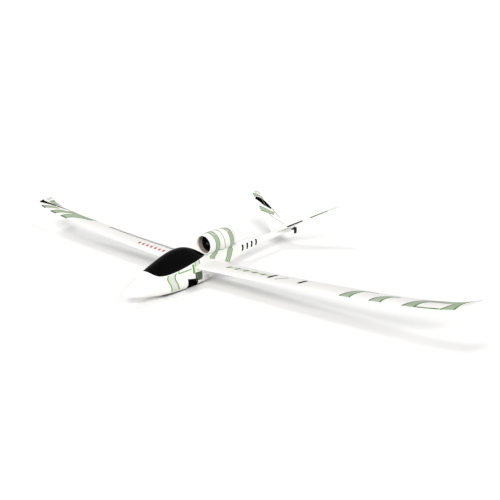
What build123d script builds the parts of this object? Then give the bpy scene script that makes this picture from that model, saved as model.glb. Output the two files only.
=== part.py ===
"""V-tail ducted-fan glider, nose towards -Y, left wing towards +X, resting on its belly skid.

Stations along the body are measured aft of the nose tip.  Every solid is built in
station coordinates and moved on export, so the origin lies on the floor under the
middle of the overall length.
"""
import os
from math import cos, pi, radians, sin, sqrt
from build123d import *

os.makedirs("parts", exist_ok=True)

# ---------------------------------------------------------------- driving sizes (mm)
LENGTH = 990.0
HALF_SPAN = 1000.0
ORIGIN_STATION = LENGTH / 2

# body sections: station, belly height, spine height, half width, height of the widest line
BODY = [
    (7, 50.5, 72.5, 11.0, 61),
    (22, 44.0, 80.5, 19.5, 60),
    (48, 36.0, 89.5, 27.5, 59),
    (80, 28.5, 104.0, 34.5, 59),
    (118, 19.5, 119.5, 39.5, 60),
    (160, 11.5, 134.5, 43.5, 61),
    (205, 6.0, 148.5, 46.0, 62),
    (250, 3.2, 155.5, 47.0, 62),
    (290, 2.2, 151.5, 46.8, 61),
    (330, 2.4, 135.0, 45.6, 58),
    (362, 3.6, 115.5, 43.6, 55),
    (385, 5.6, 102.5, 41.6, 54),
    (415, 10.0, 98.0, 38.4, 55),
    (460, 18.5, 98.5, 34.4, 58),
    (520, 30.0, 100.0, 30.0, 64),
    (580, 40.5, 102.0, 26.0, 70),
    (640, 49.0, 99.5, 21.8, 74),
    (710, 56.0, 95.0, 17.8, 76),
    (790, 61.5, 91.5, 14.6, 77),
    (860, 64.5, 89.5, 12.6, 77.5),
    (925, 67.0, 88.5, 11.0, 78),
]
NOSE_HEIGHT = 61.5
BODY_WALL = 5.0
BOOM_WALL = 3.5
CAVITY_START = 24.0
CAVITY_END = 900.0

# canopy sill line: station, height
SILL = [
    (97, 118), (108, 106.5), (124, 97), (146, 92), (172, 91),
    (205, 93), (250, 98), (305, 105), (352, 108), (376, 106.5),
]
CANOPY_SKIN = 1.4
CANOPY_RIM = 4.5
CANOPY_LIFT_GAP = 0.35

# wing: distance from the centre plane, leading and trailing edge stations, height, thickness ratio
WING = [
    (28, 291.0, 400.0, 80.4, 0.098),
    (150, 291.0, 400.0, 87.2, 0.096),
    (300, 292.0, 396.5, 95.8, 0.094),
    (450, 293.5, 389.5, 107.4, 0.092),
    (600, 298.0, 383.5, 121.0, 0.088),
    (720, 301.5, 379.5, 132.0, 0.084),
    (820, 306.0, 384.0, 141.0, 0.080),
    (890, 315.0, 395.0, 147.3, 0.074),
    (935, 326.0, 405.5, 151.4, 0.066),
    (965, 342.0, 421.0, 154.0, 0.058),
    (985, 366.0, 440.0, 155.8, 0.050),
    (995, 396.0, 455.0, 156.6, 0.044),
    (HALF_SPAN, 428.0, 466.0, 157.0, 0.044),
]
WING_CAMBER = 0.022
WING_INCIDENCE = 2.0
TRAILING_EDGE = 0.9

# ducted fan, its axis lies in the centre plane
DUCT_HEIGHT = 136.0
LIP_STATION = 385.0
LIP_OUTER = 37.0
LIP_INNER = 32.8
BORE = 32.3
SHROUD_START = 412.0
SHROUD_END = 458.0
SHROUD_OUTER = 34.0
TUBE_END = 530.0
TUBE_EXIT = 27.0
TUBE_WALL = 1.0
ROTOR_START = 420.0
ROTOR_DEPTH = 14.0
ROTOR_BLADES = 12
BLADE_TIP = 31.8
HUB_RADIUS = 13.0
STATOR_VANES = 5
MOTOR_RADIUS = 11.0
POD = [
    (388, 37.4), (402, 39.6), (430, 41.0), (470, 40.8),
    (500, 39.2), (518, 35.6), (TUBE_END, 30.5),
]

# control surfaces
AILERON_SPAN = (560.0, 880.0)
AILERON_CHORD = 0.74
AILERON_NOSE = 2.6
SURFACE_GAP = 0.6
SIDE_GAP = 1.0
WIRE_RADIUS = 0.4
WIRE_CLEARANCE = 0.05
FIN_ANGLE = 28.0
FIN_ROOT_HEIGHT = 86.0
# tail fin lying flat: distance out, leading and trailing edge stations, thickness ratio
FIN = [
    (4, 803.0, 918.0, 0.075),
    (90, 851.0, 938.0, 0.075),
    (180, 902.0, 966.0, 0.075),
    (232, 931.5, 984.0, 0.07),
    (250, 947.0, 989.0, 0.06),
    (255, 960.0, LENGTH, 0.04),
]
RUDDER_SPAN = (22.0, 228.0)
RUDDER_CHORD = 0.62
RUDDER_NOSE = 2.6

# wing structure
JOINER_RADIUS = 3.0
JOINER_REACH = 230.0
SPAR_RADIUS = 1.5
SPAR_START = 345.0
SPAR_END = 810.0
SPAR_CHORD = (0.22, 0.24)


def body_outline(station, low, high, half_width, middle, inset=0.0):
    """Closed egg-shaped section across the body, shrunk inwards by inset."""
    points = []
    steps = 16
    for index in range(steps):
        angle = 2 * pi * index / steps
        across = (half_width - inset) * sin(angle)
        if cos(angle) >= 0:
            up = (high - inset - middle) * cos(angle)
        else:
            up = (middle - low - inset) * cos(angle)
        fullness = 1.0 + 0.035 * abs(sin(2 * angle))
        points.append(Vector(across * fullness, station, middle + up * fullness))
    return Wire([Spline(*points, periodic=True)])


def body_at(station):
    """Section sizes of the body at any station, between the listed ones."""
    return table_at(BODY, station)


def body_solid(inset=0.0):
    """The body's outside, or the same shape shrunk by inset."""
    if inset == 0:
        sections = [Vertex(0, 0, NOSE_HEIGHT)] + [body_outline(*row) for row in BODY]
        return Solid.make_loft(sections)
    rows = [row for row in BODY if row[0] > CAVITY_START]
    return Solid.make_loft([body_outline(*row, inset) for row in rows])


def cavity_solid():
    """The hollow inside the body: a roomy pod and a narrow boom."""
    sections = [body_outline(CAVITY_START, *body_at(CAVITY_START), BODY_WALL)]
    for row in BODY:
        if CAVITY_START < row[0] < CAVITY_END:
            wall = BODY_WALL if row[0] < 500 else BOOM_WALL
            sections.append(body_outline(*row, wall))
    sections.append(body_outline(CAVITY_END, *body_at(CAVITY_END), BOOM_WALL))
    return Solid.make_loft(sections)


def above_sill(offset=0.0):
    """Block holding everything above the canopy sill, raised by offset."""
    curve = Spline(*[Vector(-80, station, height + offset) for station, height in SILL])
    first = Vector(-80, SILL[0][0], SILL[0][1] + offset)
    last = Vector(-80, SILL[-1][0], SILL[-1][1] + offset)
    top_last = Vector(-80, SILL[-1][0], 200)
    top_first = Vector(-80, SILL[0][0], 200)
    outline = Wire([curve, Line(last, top_last), Line(top_last, top_first), Line(top_first, first)])
    return Solid.extrude(Face(outline), Vector(160, 0, 0))


def foil_points(le, te, height, ratio, camber, incidence):
    """Wing section points from the trailing edge over the top and back along the bottom."""
    chord = te - le
    stations = [1.0, 0.86, 0.68, 0.50, 0.32, 0.17, 0.07, 0.018]

    def half(fraction):
        shape = 0.2969 * sqrt(fraction) - 0.1260 * fraction - 0.3516 * fraction ** 2
        shape += 0.2843 * fraction ** 3 - 0.1036 * fraction ** 4
        return 5 * ratio * chord * shape + TRAILING_EDGE / 2 * fraction ** 3

    def mean(fraction):
        return camber * chord * 4 * fraction * (1 - fraction)

    tilt = radians(incidence)
    points = []
    for side, order in ((1, stations), (0, [0.0]), (-1, stations[::-1])):
        for fraction in order:
            along = (fraction - 0.5) * chord
            up = mean(fraction) + side * half(fraction)
            station = le + chord / 2 + along * cos(tilt) + up * sin(tilt)
            points.append((station, height - along * sin(tilt) + up * cos(tilt)))
    return points


def foil_wire(across, le, te, height, ratio, camber, incidence):
    """Closed wing section in a plane square to the span."""
    points = [Vector(across, y, z) for y, z in foil_points(le, te, height, ratio, camber, incidence)]
    return Wire([Spline(*points), Line(points[-1], points[0])])


def wing_solid():
    """Left wing panel outside shape, before cuts."""
    sections = []
    for x, le, te, z, ratio in WING:
        sections.append(foil_wire(x, le, te, z, ratio, WING_CAMBER, WING_INCIDENCE))
    return Solid.make_loft(sections)


def fin_solid():
    """Left tail fin lying flat along +X at height zero, before it is tilted."""
    sections = [foil_wire(out, le, te, 0.0, ratio, 0.0, 0.0) for out, le, te, ratio in FIN]
    return Solid.make_loft(sections, ruled=True)


def table_at(table, distance):
    """Values of a wing or fin table at any distance along the span."""
    for first, second in zip(table, table[1:]):
        if first[0] <= distance <= second[0]:
            share = (distance - first[0]) / (second[0] - first[0])
            return [a + share * (b - a) for a, b in zip(first, second)][1:]
    return list(table[-1][1:])


def wing_point(distance, fraction):
    """Point on the wing's mean line at a distance from the centre and a share of the chord."""
    le, te, height, ratio = table_at(WING, distance)
    chord = te - le
    along = (fraction - 0.5) * chord
    up = WING_CAMBER * chord * 4 * fraction * (1 - fraction)
    tilt = radians(WING_INCIDENCE)
    station = le + chord / 2 + along * cos(tilt) + up * sin(tilt)
    return Vector(distance, station, height - along * sin(tilt) + up * cos(tilt))


def fin_point(distance, fraction):
    """Point on the flat fin's mean line."""
    le, te, _ = table_at(FIN, distance)
    return Vector(distance, le + (te - le) * fraction, 0)


def rod(start, end, radius):
    """Round bar between two points."""
    direction = end - start
    return Solid.make_cylinder(radius, direction.length, Plane(origin=start, z_dir=direction.normalized()))


def block(low, high):
    """Box between two corners."""
    size = [b - a for a, b in zip(low, high)]
    return Pos(*[(a + b) / 2 for a, b in zip(low, high)]) * Box(*size)


def aft_prism(start, end, reach=160.0, thick=60.0):
    """Everything behind a hinge line, as a slab between its two ends."""
    corners = [start, end, end + Vector(0, reach, 0), start + Vector(0, reach, 0)]
    low = [Vector(c.X, c.Y, start.Z - thick) for c in corners]
    outline = Wire.make_polygon(low, close=True)
    return Solid.extrude(Face(outline), Vector(0, 0, 2 * thick + abs(end.Z - start.Z)))


def split_surface(panel, start, end, nose):
    """Cut a hinged trailing surface out of a panel; returns the fixed part, the surface and its wire."""
    direction = (end - start).normalized()
    inner_start = start + direction * SIDE_GAP
    inner_end = end - direction * SIDE_GAP
    region = aft_prism(inner_start, inner_end) + rod(inner_start, inner_end, nose)
    pocket = aft_prism(start, end) + rod(start, end, nose + SURFACE_GAP)
    surface = panel & region
    surface = surface - rod(start - direction * 5, end + direction * 5, WIRE_RADIUS + WIRE_CLEARANCE)
    wire = rod(start - direction * 8, end + direction * 8, WIRE_RADIUS)
    fixed = panel - pocket - wire
    return fixed, surface, wire


def revolve_profile(points):
    """Solid of revolution about the fan axis from (station, radius) points."""
    corners = [Vector(0, station, DUCT_HEIGHT + radius) for station, radius in points]
    outline = Face(Wire.make_polygon(corners, close=True))
    axis = Axis((0, 0, DUCT_HEIGHT), (0, 1, 0))
    return Solid.revolve(outline, 360.0, axis)


def biggest(shape):
    """The largest solid of a shape, dropping any sliver cut loose at an edge."""
    return max(shape.solids(), key=lambda solid: solid.volume)


def mirror_x(shape):
    """The right-hand copy of a left-hand solid."""
    return shape.mirror(Plane.YZ)


def tilt_fin(shape):
    """Stand a flat fin up to its dihedral, its root on the boom's spine."""
    return Pos(0, 0, FIN_ROOT_HEIGHT) * Rot(0, -FIN_ANGLE, 0) * shape


def save(name, *solids):
    """Write one node, moved so that the origin is under the middle of the length."""
    shape = solids[0] if len(solids) == 1 else Compound(children=list(solids))
    moved = Pos(0, -ORIGIN_STATION, 0) * shape
    export_step(moved, f"parts/{name}.step")
    print(name, len(moved.solids()), round(moved.volume / 1000, 2))


# ---------------------------------------------------------------- body and canopy
body = body_solid()
skin_inside = body_solid(CANOPY_SKIN)
rim_inside = body_solid(CANOPY_RIM)
cavity = cavity_solid()
bay = above_sill()

DUCT_CLEAR_START = 374.0
DUCT_CLEAR_RADIUS = LIP_OUTER + 1.2
duct_clear = revolve_profile([
    (DUCT_CLEAR_START, 0), (DUCT_CLEAR_START, DUCT_CLEAR_RADIUS),
    (TUBE_END + 4, DUCT_CLEAR_RADIUS), (TUBE_END + 4, 0),
])

JOINER_MIDDLE = wing_point(28, 0.32)
JOINER_TIP = wing_point(JOINER_REACH, 0.34)
joiner_direction = (JOINER_TIP - JOINER_MIDDLE).normalized()
joiner_root = JOINER_MIDDLE - joiner_direction * (JOINER_MIDDLE.X / joiner_direction.X)
joiner_left = rod(joiner_root, JOINER_TIP, JOINER_RADIUS)
joiner = joiner_left + mirror_x(joiner_left) + Pos(joiner_root) * Sphere(JOINER_RADIUS)

PIN_RADIUS = 1.5
PIN_START = 38.0
PIN_END = 62.0
PIN_RISE = 1.35
pins_left = []
for share in (0.14, 0.72):
    at = wing_point(28, share)
    pins_left.append(rod(Vector(PIN_START, at.Y, at.Z), Vector(PIN_END, at.Y, at.Z + PIN_RISE), PIN_RADIUS))

shell = body - cavity - above_sill(-CANOPY_LIFT_GAP) - duct_clear - joiner
for pin in pins_left:
    shell = shell - pin - mirror_x(pin)

canopy = biggest((body - skin_inside) & bay - duct_clear)
RIM_HEIGHT = 4.0
rim_band = above_sill() - above_sill(RIM_HEIGHT)
canopy_rim = biggest((skin_inside - rim_inside) & rim_band - duct_clear)

# ---------------------------------------------------------------- fuselage fittings
MAGNET_RADIUS = 4.0
MAGNET_DEPTH = 2.0
BRIDGE_START = 322.0
BRIDGE_END = 336.0
BRIDGE_HEIGHT = 105.0
MAGNET_SPREAD = 16.0
magnet_middle = (BRIDGE_START + BRIDGE_END) / 2
bridge_zone = block((-60, BRIDGE_START, BRIDGE_HEIGHT - 9), (60, BRIDGE_END, BRIDGE_HEIGHT - 1))
magnet_bridge = bridge_zone & cavity - above_sill(-1.0)
bar_zone = block((-60, BRIDGE_START, BRIDGE_HEIGHT - 8), (60, BRIDGE_END, BRIDGE_HEIGHT + 9))
frame_bar = bar_zone & rim_inside & rim_band
lower_magnets = []
upper_magnets = []
for side in (-1, 1):
    base = Vector(side * MAGNET_SPREAD, magnet_middle, BRIDGE_HEIGHT - 1 - MAGNET_DEPTH)
    lower = rod(base, base + Vector(0, 0, MAGNET_DEPTH), MAGNET_RADIUS)
    upper = Pos(0, 0, MAGNET_DEPTH + 4) * lower
    lower_magnets.append(lower)
    upper_magnets.append(upper)
canopy_frame = canopy_rim + frame_bar
for lower, upper in zip(lower_magnets, upper_magnets):
    magnet_bridge = magnet_bridge - lower
    canopy_frame = canopy_frame - upper
magnet_bridge = biggest(magnet_bridge)
canopy_frame = biggest(canopy_frame)

TRAY_TOP = 36.5
TRAY_DEPTH = 2.5
TRAY_HALF_WIDTH = 22.0
TRAY_START = 130.0
TRAY_END = 372.0
FORMER_THICKNESS = 3.0
tray_floor = TRAY_TOP - TRAY_DEPTH
tray = block((-TRAY_HALF_WIDTH, TRAY_START, tray_floor), (TRAY_HALF_WIDTH, TRAY_END, TRAY_TOP))
formers = []
for station in (146, 300, 360):
    former_zone = block((-60, station, 0), (60, station + FORMER_THICKNESS, tray_floor))
    formers.append(biggest(former_zone & cavity))


def boxed(half_width, start, end, height, rounding):
    """A rounded unit standing on the tray."""
    unit = block((-half_width, start, TRAY_TOP), (half_width, end, TRAY_TOP + height))
    return fillet(unit.edges(), rounding)


BATTERY_HEIGHT = 27.0
STRAP_THICKNESS = 1.4
STRAP_START = 176.0
STRAP_END = 194.0
battery = boxed(17.0, 134.0, 236.0, BATTERY_HEIGHT, 2.0)
controller = boxed(14.0, 246.0, 296.0, 10.0, 1.2)
receiver = boxed(11.0, 306.0, 344.0, 13.0, 1.0)
strap_half = TRAY_HALF_WIDTH + 0.6
strap_top = TRAY_TOP + BATTERY_HEIGHT
strap_inner = block((-strap_half, STRAP_START - 1, tray_floor), (strap_half, STRAP_END + 1, strap_top))
strap_half += STRAP_THICKNESS
strap_outer = block((-strap_half, STRAP_START, tray_floor - STRAP_THICKNESS),
                    (strap_half, STRAP_END, strap_top + STRAP_THICKNESS))
strap = strap_outer - strap_inner

# ---------------------------------------------------------------- belly skid and tail bumper
SKID_HALF_WIDTH = 13.0
SKID_LINE = [
    (166, 9.2), (186, 5.6), (208, 2.6), (232, 0.5), (244, 0.0),
    (350, 0.0), (364, 1.0), (364, 12), (166, 16),
]
skid_points = [Vector(-SKID_HALF_WIDTH, y, z) for y, z in SKID_LINE]
skid_side = Face(Wire.make_polygon(skid_points, close=True))
skid = biggest(Solid.extrude(skid_side, Vector(2 * SKID_HALF_WIDTH, 0, 0)) - body)

BUMPER_HALF_WIDTH = 2.2
BUMPER_LINE = [
    (912, 69), (925, 66.5), (948, 67.5), (962, 63), (964, 46.5), (970, 45), (977, 47),
    (979, 60), (976, 73), (966, 75), (940, 73.5), (925, 78), (912, 78),
]
bumper_points = [Vector(-BUMPER_HALF_WIDTH, y, z) for y, z in BUMPER_LINE]
bumper_side = Face(Wire.make_polygon(bumper_points, close=True))
bumper_slot = Solid.extrude(bumper_side, Vector(2 * BUMPER_HALF_WIDTH, 0, 0))
bumper = fillet(bumper_slot.edges().filter_by(Axis.X), 0.8)

# ---------------------------------------------------------------- duct, fan and motor
axis_line = Axis((0, 0, DUCT_HEIGHT), (0, 1, 0))


def lip_ring():
    """Rounded ring at the intake mouth."""
    middle = (LIP_OUTER + LIP_INNER) / 2
    half = (LIP_OUTER - LIP_INNER) / 2
    front = LIP_STATION
    inner = Vector(0, front + half + 6, DUCT_HEIGHT + LIP_INNER)
    inner_bend = Vector(0, front + half, DUCT_HEIGHT + LIP_INNER)
    tip = Vector(0, front, DUCT_HEIGHT + middle)
    outer_bend = Vector(0, front + half, DUCT_HEIGHT + LIP_OUTER)
    outer = Vector(0, front + half + 6, DUCT_HEIGHT + LIP_OUTER + 0.9)
    edges = [Line(inner, inner_bend), ThreePointArc(inner_bend, tip, outer_bend)]
    edges += [Line(outer_bend, outer), Line(outer, inner)]
    return Solid.revolve(Face(Wire(edges)), 360.0, axis_line)


LIP_END = LIP_STATION + (LIP_OUTER - LIP_INNER) / 2 + 6
lip = lip_ring()
liner = revolve_profile([
    (LIP_END, LIP_INNER), (LIP_END, SHROUD_OUTER),
    (SHROUD_START, SHROUD_OUTER), (SHROUD_START, BORE),
])
TUBE_WAIST = SHROUD_END + 40
WAIST_RADIUS = BORE - 1.2
tube = revolve_profile([
    (SHROUD_END, BORE), (SHROUD_END, BORE + TUBE_WALL),
    (TUBE_WAIST, WAIST_RADIUS + TUBE_WALL), (TUBE_END, TUBE_EXIT + TUBE_WALL),
    (TUBE_END, TUBE_EXIT), (TUBE_WAIST, WAIST_RADIUS),
])


def ring(start, end, inner, outer):
    """Plain tube about the fan axis."""
    return revolve_profile([(start, inner), (start, outer), (end, outer), (end, inner)])


SLEEVE_START = 436.5
VANE_START = 440.0
VANE_END = 456.0
VANE_HALF = 0.8
VANE_ROOT = 0.6
shroud = ring(SHROUD_START, SHROUD_END, BORE, SHROUD_OUTER)
shroud = shroud + ring(SLEEVE_START, SHROUD_END, MOTOR_RADIUS, HUB_RADIUS)
for index in range(STATOR_VANES):
    vane = block((-VANE_HALF, VANE_START, DUCT_HEIGHT + HUB_RADIUS - VANE_ROOT),
                 (VANE_HALF, VANE_END, DUCT_HEIGHT + BORE + VANE_ROOT))
    shroud = shroud + vane.rotate(axis_line, index * 360 / STATOR_VANES)

SHAFT_RADIUS = 1.5
SHAFT_START = 424.0
SHAFT_END = 459.0
MOTOR_START = 437.0
MOTOR_END = 468.0


def axial_bar(start, end, radius):
    """Round bar along the fan axis."""
    return rod(Vector(0, start, DUCT_HEIGHT), Vector(0, end, DUCT_HEIGHT), radius)


motor = axial_bar(MOTOR_START, MOTOR_END, MOTOR_RADIUS)
motor = motor - axial_bar(MOTOR_START - 7, SHAFT_END + 1, SHAFT_RADIUS + WIRE_CLEARANCE)
shaft = axial_bar(SHAFT_START, SHAFT_END, SHAFT_RADIUS)
CONE_START = SHROUD_END + 0.2
tail_cone = revolve_profile([
    (CONE_START, MOTOR_RADIUS), (CONE_START, HUB_RADIUS), (478, 11.5), (492, 7.5),
    (500, 3.5), (502, 0), (MOTOR_END, 0), (MOTOR_END, MOTOR_RADIUS),
])

HUB_FRONT = HUB_RADIUS - 0.3
hub_end = ROTOR_START + ROTOR_DEPTH + 1
# blade ribs from root to tip: radius, pitch in degrees, chord
BLADE_RIBS = ((HUB_RADIUS - 1.5, 38, 12.5), (22, 52, 13.0), (BLADE_TIP + 2, 64, 12.0))
BLADE_HALF = 0.6
rotor = revolve_profile([(ROTOR_START, 0), (ROTOR_START, HUB_FRONT), (hub_end, HUB_RADIUS), (hub_end, 0)])
for index in range(ROTOR_BLADES):
    ribs = []
    for radius, pitch, chord in BLADE_RIBS:
        along = Vector(sin(radians(pitch)), cos(radians(pitch)), 0)
        across = Vector(cos(radians(pitch)), -sin(radians(pitch)), 0)
        middle = Vector(0, ROTOR_START + ROTOR_DEPTH / 2, DUCT_HEIGHT + radius)
        corners = [middle + along * chord / 2, middle + across * BLADE_HALF]
        corners += [middle - along * chord / 2, middle - across * BLADE_HALF]
        ribs.append(Wire.make_polygon(corners, close=True))
    blade = Solid.make_loft(ribs, ruled=True)
    rotor = rotor + blade.rotate(axis_line, index * 360 / ROTOR_BLADES)
rotor_zone = axial_bar(ROTOR_START - 3, hub_end + 1, BLADE_TIP)
rotor = biggest((rotor & rotor_zone) - shaft)

SPINNER_LENGTH = 17.0
nose_point = Vector(0, ROTOR_START - SPINNER_LENGTH, DUCT_HEIGHT)
rim_point = Vector(0, ROTOR_START, DUCT_HEIGHT + HUB_FRONT)
cheek_point = Vector(0, ROTOR_START - 0.62 * SPINNER_LENGTH, DUCT_HEIGHT + 0.64 * HUB_RADIUS)
spinner_curve = Spline(nose_point, cheek_point, rim_point, tangents=[(0, 0, 1), (0, 1, 0.05)])
spinner_back = Vector(0, ROTOR_START, DUCT_HEIGHT)
spinner_face = Face(Wire([spinner_curve, Line(rim_point, spinner_back), Line(spinner_back, nose_point)]))
spinner = Solid.revolve(spinner_face, 360.0, axis_line)

# ---------------------------------------------------------------- nacelle over the fan
pod_sections = []
for station, radius in POD:
    pod_sections.append(Wire.make_circle(radius, Plane(origin=(0, station, DUCT_HEIGHT), z_dir=(0, 1, 0))))
pod = Solid.make_loft(pod_sections)
neck_sections = []
# neck between the nacelle and the body: station, half width, top height
NECK = [(LIP_END, 20, 112), (420, 25, 116), (470, 25, 118), (502, 20, 118), (526, 12, 114)]
NECK_FOOT = 80.0
for station, half_width, top in NECK:
    corners = [Vector(-half_width, station, NECK_FOOT), Vector(half_width, station, NECK_FOOT)]
    corners += [Vector(half_width, station, top), Vector(-half_width, station, top)]
    neck_sections.append(Wire.make_polygon(corners, close=True))
neck = Solid.make_loft(neck_sections)
core_start = LIP_STATION - 6
core_end = TUBE_END + 20
duct_core = revolve_profile([
    (core_start, 0), (core_start, LIP_OUTER + 3), (LIP_END, LIP_OUTER + 3), (LIP_END, SHROUD_OUTER),
    (SHROUD_END, SHROUD_OUTER), (SHROUD_END, BORE + TUBE_WALL), (TUBE_WAIST, WAIST_RADIUS + TUBE_WALL),
    (TUBE_END, TUBE_EXIT + TUBE_WALL), (core_end, TUBE_EXIT + TUBE_WALL), (core_end, 0),
])
nacelle_full = pod + neck - duct_core - body
HATCH_START = 418.0
HATCH_END = 496.0
HATCH_HALF_WIDTH = 22.0
HATCH_GAP = 0.35


def hatch_block(grow):
    """Space of the fan hatch, grown all round by its gap."""
    half = HATCH_HALF_WIDTH + grow
    return block((-half, HATCH_START - grow, DUCT_HEIGHT + 12), (half, HATCH_END + grow, DUCT_HEIGHT + 60))


nacelle = biggest(nacelle_full - hatch_block(HATCH_GAP))
hatch_core = axial_bar(HATCH_START - 18, TUBE_END, SHROUD_OUTER + HATCH_GAP)
hatch = biggest((pod & hatch_block(0)) - hatch_core)

# ---------------------------------------------------------------- linkage parts shared by wings and fins
CRANK = 9.0
PIN_R = 0.5
PIN_HOLE = 0.56
ARM_AHEAD = 30.0
# notch in the fixed surface that the horn swings into
HORN_NOTCH_HALF = 1.5
HORN_NOTCH_DEPTH = 7.0
HORN_NOTCH_TOP = 1.2


def linkage(frame, servo_low, servo_high):
    """Servo, arm, pushrod, horn and cover blank, with the cuts they need, in a hinge's own frame."""
    back = -ARM_AHEAD

    def bar(start, end, radius):
        return rod(Vector(*start), Vector(*end), radius)

    servo = block((1.3, back - 6, servo_low), (21.3, back + 16, servo_high))
    servo = servo - bar((0, back, 0), (5.1, back, 0), 1.5 + WIRE_CLEARANCE)
    hub = bar((-0.8, back, 0), (0.8, back, 0), 2.6)
    blade = block((-0.8, back - 1.6, -CRANK), (0.8, back + 1.6, 0))
    tip = bar((-0.8, back, -CRANK), (0.8, back, -CRANK), 1.6)
    arm = hub + blade + tip + bar((0, back, 0), (5.0, back, 0), 1.5)
    arm = arm - bar((-3, back, -CRANK), (3, back, -CRANK), PIN_HOLE)
    wire = bar((-1.75, back, -CRANK), (-1.75, 0, -CRANK), 0.6)
    for end in (back, 0):
        wire = wire + bar((-1.75, end, -CRANK), (1.4, end, -CRANK), PIN_R)
        wire = wire + Pos(-1.75, end, -CRANK) * Sphere(0.6)
    outline = [(-0.8, -0.4), (7.0, -0.4), (1.7, -CRANK - 1.7)]
    outline += [(-1.7, -CRANK - 1.7), (-1.7, -CRANK + 1.5), (-0.8, -3.4)]
    side = Face(Wire.make_polygon([Vector(-0.8, y, z) for y, z in outline], close=True))
    horn = Solid.extrude(side, Vector(1.6, 0, 0))
    horn = horn - bar((-3, 0, -CRANK), (3, 0, -CRANK), PIN_HOLE)
    slot = block((-1.6, back - 8, -CRANK - 4), (1.3, back + 8, 3.0))
    pocket = block((1.3, back - 6, servo_low - 6), (21.3, back + 16, servo_high))
    notch = block((-HORN_NOTCH_HALF, -HORN_NOTCH_DEPTH, -CRANK), (HORN_NOTCH_HALF, 0, -HORN_NOTCH_TOP))
    cover = block((-3.2, back - 9.5, servo_low - 1.1), (23, back + 18, servo_high))
    cover = fillet(cover.edges().filter_by(Axis.Z), 2.4)
    cover = cover - block((1.3, back - 6, servo_low), (21.3, back + 16, servo_high + 4)) - slot
    shapes = {"servo": servo, "arm": arm, "rod": wire, "horn": horn}
    shapes.update({"slot": slot, "pocket": pocket, "notch": notch, "cover": cover})
    return {name: frame.location * shape for name, shape in shapes.items()}


# ---------------------------------------------------------------- left wing
wing_blank = wing_solid()
aileron_start = wing_point(AILERON_SPAN[0], AILERON_CHORD)
aileron_end = wing_point(AILERON_SPAN[1], AILERON_CHORD)
wing_parts = split_surface(wing_blank, aileron_start, aileron_end, AILERON_NOSE)
wing_fixed, aileron, aileron_wire = wing_parts
AILERON_SERVO = 0.14
hinge_direction = (aileron_end - aileron_start).normalized()
hinge_point = aileron_start + (aileron_end - aileron_start) * AILERON_SERVO
up_direction = hinge_direction.cross(Vector(0, 1, 0)).normalized()
hinge_frame = Plane(origin=hinge_point, x_dir=hinge_direction, z_dir=up_direction)
wing_link = linkage(hinge_frame, -5.2, 2.6)

spar_root = wing_point(SPAR_START, SPAR_CHORD[0])
spar_tip = wing_point(SPAR_END, SPAR_CHORD[1])
spar = rod(spar_root, spar_tip, SPAR_RADIUS)
SCREW_DISTANCE = 74.0
SCREW_RADIUS = 1.2
SCREW_HEAD = 2.6
screw_top = joiner_root + joiner_direction * SCREW_DISTANCE + Vector(0, 0, -JOINER_RADIUS)
screw = rod(screw_top + Vector(0, 0, -3.4), screw_top, SCREW_RADIUS)
screw = screw + rod(screw_top + Vector(0, 0, -4.6), screw_top + Vector(0, 0, -3.2), SCREW_HEAD)
wing_cover = biggest(wing_link["cover"] - wing_blank)
wing = wing_fixed - body - joiner - spar - screw
for space in ("slot", "pocket", "notch"):
    wing = wing - wing_link[space]
for pin in pins_left:
    wing = wing - pin
wing = biggest(wing)
aileron = biggest(aileron - wing_link["horn"])

# ---------------------------------------------------------------- left tail fin
fin_blank = fin_solid()
rudder_start = fin_point(RUDDER_SPAN[0], RUDDER_CHORD)
rudder_end = fin_point(RUDDER_SPAN[1], RUDDER_CHORD)
fin_fixed, rudder, rudder_wire = split_surface(fin_blank, rudder_start, rudder_end, RUDDER_NOSE)
RUDDER_SERVO = 0.14
rudder_direction = (rudder_end - rudder_start).normalized()
rudder_point = rudder_start + (rudder_end - rudder_start) * RUDDER_SERVO
rudder_frame = Plane(origin=rudder_point, x_dir=rudder_direction, z_dir=Vector(0, 0, 1))
fin_link = linkage(rudder_frame, -5.0, 1.8)
fin_cover = biggest(fin_link["cover"] - fin_blank)
for space in ("slot", "pocket", "notch"):
    fin_fixed = fin_fixed - fin_link[space]
rudder = biggest(rudder - fin_link["horn"])
fin = biggest(tilt_fin(fin_fixed) - body)

# ---------------------------------------------------------------- finish the body halves
shell = shell - bumper_slot
left_half = biggest(shell & block((0, -10, -10), (90, 1000, 250)))
right_half = biggest(shell & block((-90, -10, -10), (0, 1000, 250)))

# ---------------------------------------------------------------- write the nodes
save("fuselage_left", left_half)
save("fuselage_right", right_half)
save("canopy_shell", canopy)
save("canopy_frame", canopy_frame)
save("canopy_magnets", *upper_magnets)
save("magnet_bridge", magnet_bridge)
save("fuselage_magnets", *lower_magnets)
save("equipment_tray", tray)
save("tray_formers", *formers)
save("battery", battery)
save("battery_strap", strap)
save("speed_controller", controller)
save("receiver", receiver)
save("belly_skid", skid)
save("tail_bumper", bumper)
save("nacelle", nacelle)
save("fan_hatch", hatch)
save("intake_lip", lip)
save("duct_liner", liner)
save("fan_shroud", shroud)
save("motor", motor)
save("motor_tail_cone", tail_cone)
save("thrust_tube", tube)
save("fan_rotor", rotor)
save("fan_shaft", shaft)
save("spinner", spinner)
save("wing_joiner", joiner)
save("wing_pins", *pins_left, *[mirror_x(pin) for pin in pins_left])
save("wing_screws", screw, mirror_x(screw))
save("wing_spars", spar, mirror_x(spar))
save("aileron_hinge_wires", aileron_wire, mirror_x(aileron_wire))
save("aileron_servos", wing_link["servo"], mirror_x(wing_link["servo"]))
save("aileron_servo_covers", wing_cover, mirror_x(wing_cover))
rudder_wire = tilt_fin(rudder_wire)
fin_servo = tilt_fin(fin_link["servo"])
fin_cover = tilt_fin(fin_cover)
save("ruddervator_hinge_wires", rudder_wire, mirror_x(rudder_wire))
save("ruddervator_servos", fin_servo, mirror_x(fin_servo))
save("ruddervator_servo_covers", fin_cover, mirror_x(fin_cover))
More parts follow.
